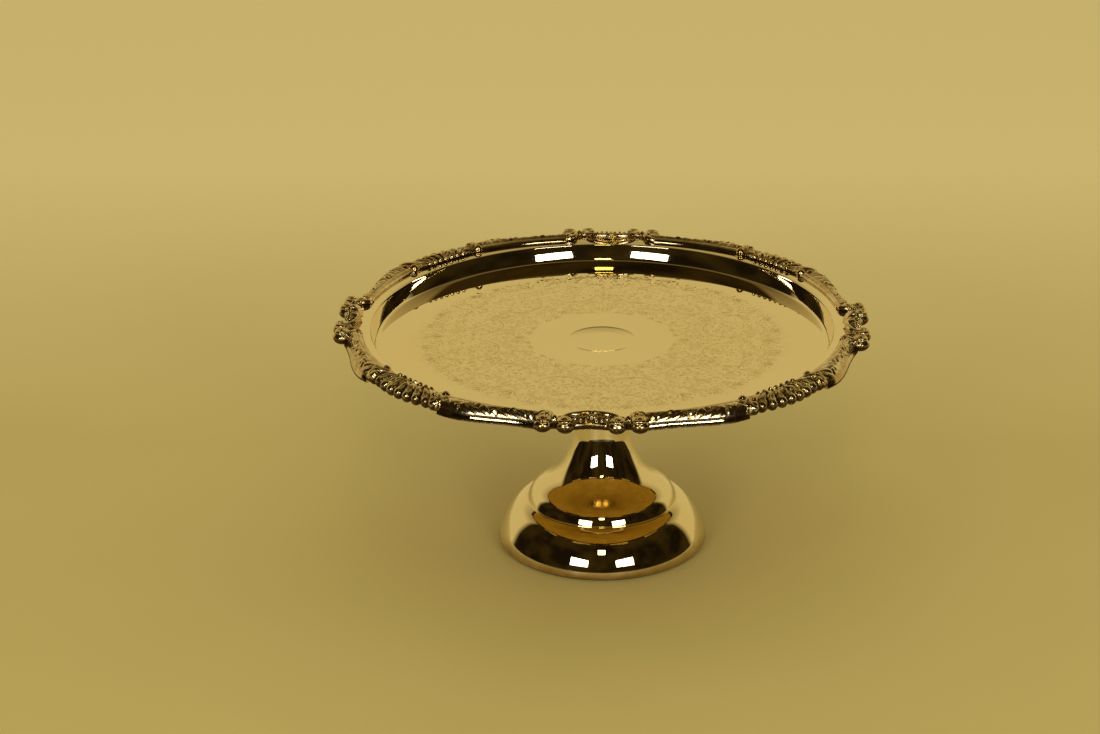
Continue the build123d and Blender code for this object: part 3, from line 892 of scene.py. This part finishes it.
# ---- materials -----------------------------------------------------
class Nodes:
    """A short way to write a material's node tree."""

    def __init__(self, name):
        self.material = bpy.data.materials.new(name)
        self.material.use_nodes = True
        self.tree = self.material.node_tree
        self.surface = self.tree.nodes["Principled BSDF"]
        self.place = self.node("ShaderNodeTexCoord").outputs["Object"]

    @classmethod
    def of_world(cls, world):
        world.use_nodes = True
        made = cls.__new__(cls)
        made.tree = world.node_tree
        made.surface = made.tree.nodes["Background"]
        made.place = made.node("ShaderNodeTexCoord").outputs["Generated"]
        return made

    def node(self, kind, inputs=None, **settings):
        node = self.tree.nodes.new(kind)
        for key, value in settings.items():
            setattr(node, key, value)
        for key, value in (inputs or {}).items():
            self.put(node.inputs[key], value)
        return node

    def put(self, socket, value):
        if isinstance(value, bpy.types.NodeSocket):
            self.tree.links.new(value, socket)
        else:
            socket.default_value = value

    def stretch(self, scale):
        return self.node("ShaderNodeMapping", {"Vector": self.place, "Scale": scale}).outputs["Vector"]

    def noise(self, scale, detail=3.0, rough=0.5, vector=None):
        inputs = {"Vector": vector or self.place, "Scale": scale, "Detail": detail, "Roughness": rough}
        return self.node("ShaderNodeTexNoise", inputs).outputs["Fac"]

    def spread(self, value, low, high, out_low=0.0, out_high=1.0):
        """The value from low to high, stretched over another range."""
        inputs = {"Value": value, "From Min": low, "From Max": high, "To Min": out_low, "To Max": out_high}
        return self.node("ShaderNodeMapRange", inputs).outputs["Result"]

    def math(self, operation, a, b=0.0):
        node = self.node("ShaderNodeMath", operation=operation)
        self.put(node.inputs[0], a)
        self.put(node.inputs[1], b)
        return node.outputs[0]

    def times(self, a, b):
        return self.math("MULTIPLY", a, b)

    def plus(self, a, b):
        return self.math("ADD", a, b)

    def mix(self, share, a, b):
        node = self.node("ShaderNodeMix", data_type="RGBA")
        self.put(node.inputs["Factor"], share)
        self.put(node.inputs["A"], a)
        self.put(node.inputs["B"], b)
        return node.outputs["Result"]

    def along(self, direction, place=None):
        """How far a place lies along a direction."""
        inputs = {0: place or self.place, 1: direction}
        return self.node("ShaderNodeVectorMath", inputs, operation="DOT_PRODUCT").outputs["Value"]

    def radius_and_height(self):
        """Distance from the spindle, and height."""
        parts = self.node("ShaderNodeSeparateXYZ", {"Vector": self.place}).outputs
        square = self.plus(self.math("POWER", parts["X"], 2.0), self.math("POWER", parts["Y"], 2.0))
        return self.math("SQRT", square), parts["Z"]

    def bump(self, height, distance):
        inputs = {"Height": height, "Distance": distance, "Strength": 1.0}
        return self.node("ShaderNodeBump", inputs).outputs["Normal"]

    def finish(self, base, roughness, normal=None, metallic=1.0):
        self.put(self.surface.inputs["Base Color"], base)
        self.put(self.surface.inputs["Metallic"], metallic)
        self.put(self.surface.inputs["Roughness"], roughness)
        if normal is not None:
            self.put(self.surface.inputs["Normal"], normal)
        return self.material


SILVER = (0.89, 0.80, 0.64, 1)
SILVER_WARM = (0.84, 0.70, 0.42, 1)
SILVER_BROWN = (0.46, 0.29, 0.10, 1)
# near black: tarnish in hollows and painted shade low down on the castings
TARNISH_AND_SHADE = (0.050, 0.022, 0.007, 1)
GILT = (0.66, 0.46, 0.12, 1)
GILT_DULL = (0.46, 0.28, 0.06, 1)
CUT_OLIVE = (0.50, 0.40, 0.19, 1)
TOOL_MARK = 0.00035  # metres from one tool mark to the next


def worn_plate(n, blotches=0.35):
    """Silver plate with warm blotches: its colour and its hairline roughness from 0 to 1."""
    blotch = n.spread(n.noise(9.0, 4.0, 0.6), 0.38, 0.72, 0.0, blotches)
    hairs = n.noise(900.0, 2.0, 0.5, n.stretch((1.0, 0.06, 1.0)))
    return n.mix(blotch, SILVER, SILVER_WARM), n.spread(hairs, 0.35, 0.75)


# hollow depth, with the castings' painted shade low down added in
def patina_and_painted_shade(n):
    return n.node("ShaderNodeAttribute", attribute_name="hollow").outputs["Fac"]


def polished_silver():
    """The pedestal: polished, with warm patches and a brown stain that creeps up from the foot's edge."""
    n = Nodes("silver_polished")
    colour, hairs = worn_plate(n, 0.85)
    _, height = n.radius_and_height()
    ragged = n.times(n.math("SUBTRACT", n.noise(60.0, 4.0, 0.6), 0.5), 0.010)
    stain = n.spread(n.plus(height, ragged), 0.0090, 0.0020, 0.0, 0.95)
    colour = n.mix(stain, colour, SILVER_BROWN)
    roughness = n.plus(n.spread(hairs, 0.0, 1.0, 0.012, 0.035), n.times(stain, 0.22))
    return n.finish(colour, roughness, n.bump(n.noise(11.0, 1.5, 0.4), 0.00005))


def chased_silver():
    """The tray's face: polished ground, cuts that have kept an olive tarnish, and a dulled ring round them.
    """
    n = Nodes("silver_chased")
    colour, hairs = worn_plate(n)
    cut = n.spread(patina_and_painted_shade(n), 0.08, 0.6)
    radius, _ = n.radius_and_height()
    ring = n.times(n.spread(radius, 0.042, 0.050), n.spread(radius, 0.118, 0.110))
    dulled = n.times(ring, n.spread(n.noise(240.0, 3.0, 0.6), 0.44, 0.66, 0.0, 0.34))
    colour = n.mix(n.math("MAXIMUM", dulled, n.times(cut, 0.95)), colour, CUT_OLIVE)
    roughness = n.plus(n.spread(hairs, 0.0, 1.0, 0.015, 0.045), n.times(cut, 0.15))
    return n.finish(colour, roughness, n.bump(n.noise(11.0, 1.5, 0.4), 0.00004))


def underside_silver():
    """Below the tray: never polished, so an even golden brown tarnish."""
    n = Nodes("silver_underside")
    dull = n.spread(n.noise(26.0, 5.0, 0.6), 0.3, 0.75)
    fine = n.noise(340.0, 3.0)
    roughness = n.spread(fine, 0.3, 0.7, 0.12, 0.24)
    return n.finish(n.mix(dull, GILT, GILT_DULL), roughness, n.bump(fine, 0.000012))


def cast_silver():
    """The border: brown patches, near black in its hollows and where shade is painted low down, and bright
    where the shade says it is rubbed.
    """
    n = Nodes("silver_cast")
    colour, hairs = worn_plate(n, 0.6)
    patches = n.spread(n.noise(150.0, 4.0, 0.65), 0.36, 0.60, 0.15, 0.75)
    colour = n.mix(patches, colour, SILVER_BROWN)
    speckle = n.times(n.math("SUBTRACT", n.noise(700.0, 4.0, 0.6), 0.5), 0.9)
    # tarnish in the hollows and painted shade low down, both from the stored shade
    dark = n.spread(n.plus(patina_and_painted_shade(n), speckle), -0.05, 0.52, 0.0, 0.97)
    colour = n.mix(dark, colour, TARNISH_AND_SHADE)
    rubbed = n.spread(patina_and_painted_shade(n), -0.9, -0.4, 0.2, 1.0)
    roughness = n.plus(n.spread(hairs, 0.0, 1.0, 0.12, 0.22), n.times(dark, 0.28))
    return n.finish(colour, n.times(roughness, rubbed), n.bump(n.noise(900.0, 3.0), 0.00003))


def turned_metal(name, colour, dark, rough):
    """Brass, bronze or steel with fine tool marks round the spindle and a little oil."""
    n = Nodes(name)
    radius, height = n.radius_and_height()
    rings = n.math("SINE", n.times(n.plus(radius, height), 2 * math.pi / TOOL_MARK))
    stain = n.spread(n.noise(160.0, 4.0, 0.6), 0.4, 0.75)
    roughness = n.spread(n.noise(500.0, 2.0), 0.3, 0.7, rough, rough + 0.15)
    return n.finish(n.mix(stain, colour, dark), roughness, n.bump(rings, 0.000006))


def fibre_board():
    """Red vulcanised fibre: mottled, slightly waxy."""
    n = Nodes("vulcanised_fibre")
    base = n.mix(n.noise(300.0, 5.0, 0.65), (0.23, 0.055, 0.025, 1), (0.11, 0.03, 0.016, 1))
    roughness = n.spread(n.noise(220.0), 0.3, 0.7, 0.45, 0.65)
    return n.finish(base, roughness, n.bump(n.noise(900.0, 3.0), 0.00003), 0.0)


def baize():
    """Green felt: short crossed fibres with a soft sheen."""
    n = Nodes("green_baize")
    long_way = n.noise(900.0, 3.0, 0.6, n.stretch((1.0, 0.12, 1.0)))
    cross_way = n.noise(900.0, 3.0, 0.6, n.stretch((0.12, 1.0, 1.0)))
    fibres = n.math("MAXIMUM", long_way, cross_way)
    base = n.mix(n.spread(fibres, 0.35, 0.8), (0.018, 0.045, 0.022, 1), (0.075, 0.15, 0.08, 1))
    n.put(n.surface.inputs["Sheen Weight"], 0.4)
    return n.finish(base, 0.95, n.bump(fibres, 0.0003), 0.0)


def paint(obj, material):
    obj.data.materials.clear()
    obj.data.materials.append(material)


def paint_node(node, material):
    """A CAD node keeps its mesh; its slots take the material."""
    obj = frame["nodes"][node]
    if not obj.material_slots:
        obj.data.materials.append(material)
    for holder in obj.material_slots:
        holder.material = material


def dress(dish, castings, shell, collar):
    """Gives every piece and every CAD node its material."""
    polished = polished_silver()
    cast = cast_silver()
    paint(dish, chased_silver())
    dish.data.materials.append(underside_silver())
    for face in dish.data.polygons:
        if face.normal.z < -0.2:
            face.material_index = 1
    paint(shell, polished)
    paint(collar, polished)
    for obj in castings:
        paint(obj, cast)
    by_slot = {
        "brass": turned_metal("turned_brass", (0.70, 0.52, 0.22, 1), (0.40, 0.26, 0.09, 1), 0.2),
        "bronze": turned_metal("bearing_bronze", (0.55, 0.34, 0.16, 1), (0.27, 0.15, 0.06, 1), 0.25),
        "bearing_steel": turned_metal("ground_steel", (0.62, 0.62, 0.63, 1), (0.34, 0.32, 0.29, 1), 0.14),
        "zinc_steel": turned_metal("zinc_steel", (0.66, 0.68, 0.70, 1), (0.42, 0.42, 0.40, 1), 0.3),
        "fibre": fibre_board(),
        "felt": baize(),
        "silver_plate": polished,
    }
    for part in frame["record"]["subparts"]:
        paint_node(part["node"], by_slot[part["material_slot"]])


# ---- stage, light and camera ---------------------------------------
VIEW_TURN = math.radians(2.2)  # the view is this far round from looking straight along +Y
toward_view = Vector((math.sin(VIEW_TURN), -math.cos(VIEW_TURN), 0))
across_view = Vector((-toward_view.y, toward_view.x, 0))

CAMERA_AWAY = 1.73203  # metres along the table from the spindle
CAMERA_UP = 0.82594
AIM_ASIDE = 0.018677  # radians from the spindle's direction
AIM_DOWN = 0.388397  # radians below level
CAMERA_ROLL = math.radians(-0.45)
SENSOR = 36.0
LENS = 98.18

FLOOR_RADIUS = 30.0
TABLE_EDGE = 0.50  # metres in front of the spindle
TABLE_SPREAD = 1.38  # half width of the table's front, per metre towards the view
FLOOR_NEAR = (0.60, 0.50, 0.225, 1)
FLOOR_CLOUD = (0.64, 0.54, 0.25, 1)
FLOOR_FAR = (0.90, 0.79, 0.49, 1)
PAST_TABLE = (0.02, 0.014, 0.003, 1)

BACKDROP = (0.62, 0.52, 0.24, 1)
PALE_ROOM = (0.63, 0.49, 0.18, 1)
DIM_ROOM = (0.034, 0.021, 0.004, 1)
DEEP_ROOM = (0.010, 0.006, 0.002, 1)
CEILING = (0.15, 0.105, 0.035, 1)
LAMP_AWAY = 2.5  # metres from the tray


def facing(direction):
    """The turn that points a camera or a light along a direction."""
    return direction.to_track_quat("-Z", "Y")


def place_camera():
    data = bpy.data.cameras.new("camera")
    data.sensor_width = SENSOR
    data.lens = LENS
    data.clip_start = 0.05
    data.clip_end = 100.0
    camera = in_scene("camera", data)
    camera.location = toward_view * CAMERA_AWAY + Vector((0, 0, CAMERA_UP))
    yaw = VIEW_TURN + AIM_ASIDE
    level = math.cos(AIM_DOWN)
    ahead = Vector((-math.sin(yaw) * level, math.cos(yaw) * level, -math.sin(AIM_DOWN)))
    aim = facing(ahead).to_matrix()
    camera.rotation_euler = (aim @ Matrix.Rotation(CAMERA_ROLL, 3, "Z")).to_euler()
    bpy.context.scene.camera = camera


def lay_floor():
    """A plain pale floor. The metal mirrors it only up to a table's edge in front of the stand."""
    mesh = bpy.data.meshes.new("floor")
    sides = 96
    turns = [2 * math.pi * i / sides for i in range(sides)]
    rim = [(FLOOR_RADIUS * math.cos(a), FLOOR_RADIUS * math.sin(a), 0) for a in turns]
    mesh.from_pydata(rim, [], [tuple(range(sides))])
    obj = in_scene("floor", mesh)
    n = Nodes("pale_floor")
    ahead = n.along(toward_view)
    cloud = n.spread(n.noise(3.0, 3.0), 0.3, 0.7)
    base = n.mix(n.spread(ahead, -0.15, -0.75), n.mix(cloud, FLOOR_NEAR, FLOOR_CLOUD), FLOOR_FAR)
    aside = n.math("ABSOLUTE", n.along(across_view))
    in_front = n.math("LESS_THAN", aside, n.times(ahead, TABLE_SPREAD))
    past_edge = n.times(n.math("GREATER_THAN", ahead, TABLE_EDGE), in_front)
    mirrored_ray = n.node("ShaderNodeLightPath").outputs["Is Glossy Ray"]
    base = n.mix(n.times(mirrored_ray, past_edge), base, PAST_TABLE)
    paint(obj, n.finish(base, 0.62, metallic=0.0))


def light_room():
    """A pale wall behind the stand and a dim room in front of it, so that the metal shows its form."""
    world = bpy.data.worlds.new("room")
    bpy.context.scene.world = world
    n = Nodes.of_world(world)
    flat = n.node("ShaderNodeVectorMath", {0: n.place, 1: (1, 1, 0)}, operation="MULTIPLY").outputs["Vector"]
    level = n.node("ShaderNodeVectorMath", {0: flat}, operation="NORMALIZE").outputs["Vector"]
    ahead = n.along(toward_view, level)
    _, height = n.radius_and_height()
    dim = n.mix(n.spread(n.noise(2.2, 2.0), 0.40, 0.62), DIM_ROOM, DEEP_ROOM)
    pale = n.mix(n.spread(height, 0.42, 0.72), PALE_ROOM, CEILING)
    room = n.mix(n.spread(ahead, -0.46, -0.34), pale, dim)
    seen = n.node("ShaderNodeLightPath").outputs["Is Camera Ray"]
    n.put(n.surface.inputs["Color"], n.mix(seen, room, BACKDROP))


def light(name, kind, power, colour, **settings):
    """A light with its power, its colour and what else its kind needs."""
    data = bpy.data.lights.new(name, kind)
    data.energy = power
    data.color = colour
    for key, value in settings.items():
        setattr(data, key, value)
    return in_scene(name, data)


def raised(level, elevation):
    """A level direction, tilted up by degrees."""
    e = math.radians(elevation)
    return level * math.cos(e) + Vector((0, 0, math.sin(e)))


def area_light(name, azimuth, elevation, width, height, power, colour):
    """A soft panel that faces the tray. Azimuth is measured round from the view."""
    obj = light(name, "AREA", power, colour, shape="RECTANGLE", size=width, size_y=height)
    level = Matrix.Rotation(math.radians(azimuth), 3, "Z") @ toward_view
    centre = Vector((0, 0, FLOOR_Z * MM))
    obj.location = centre + LAMP_AWAY * raised(level, elevation)
    obj.rotation_euler = facing(centre - obj.location).to_euler()
    obj.visible_camera = False


def sun(elevation, spread_degrees, strength, colour):
    """Broad light from above that the metal doesn't mirror."""
    obj = light("sky", "SUN", strength, colour, angle=math.radians(spread_degrees))
    obj.rotation_euler = facing(-raised(toward_view, elevation)).to_euler()
    obj.visible_glossy = False


def light_windows():
    """Two windows that the silver mirrors as pairs of white patches, two yellow lamps above, and the sky."""
    for side in (-1, 1):
        area_light(f"window_{side + 1}", 25.5 * side, 19.0, 0.82, 0.36, 8.8, (1.0, 0.95, 0.74))
    area_light("low_lamp", -0.5, 34.0, 0.32, 0.34, 3.6, (1.0, 0.84, 0.25))
    area_light("high_lamp", -1.5, 57.0, 0.30, 0.22, 1.2, (1.0, 0.78, 0.10))
    sun(72, 150, 1.56, (1.0, 0.91, 0.53))


dish = tray_dish()
stand_in(dish, "tray", "tray_dish")
castings = border()
shell = pedestal()
collar = hub_collar()
dress(dish, castings, shell, collar)
place_camera()
lay_floor()
light_room()
light_windows()
bpy.context.scene.view_settings.view_transform = "Standard"
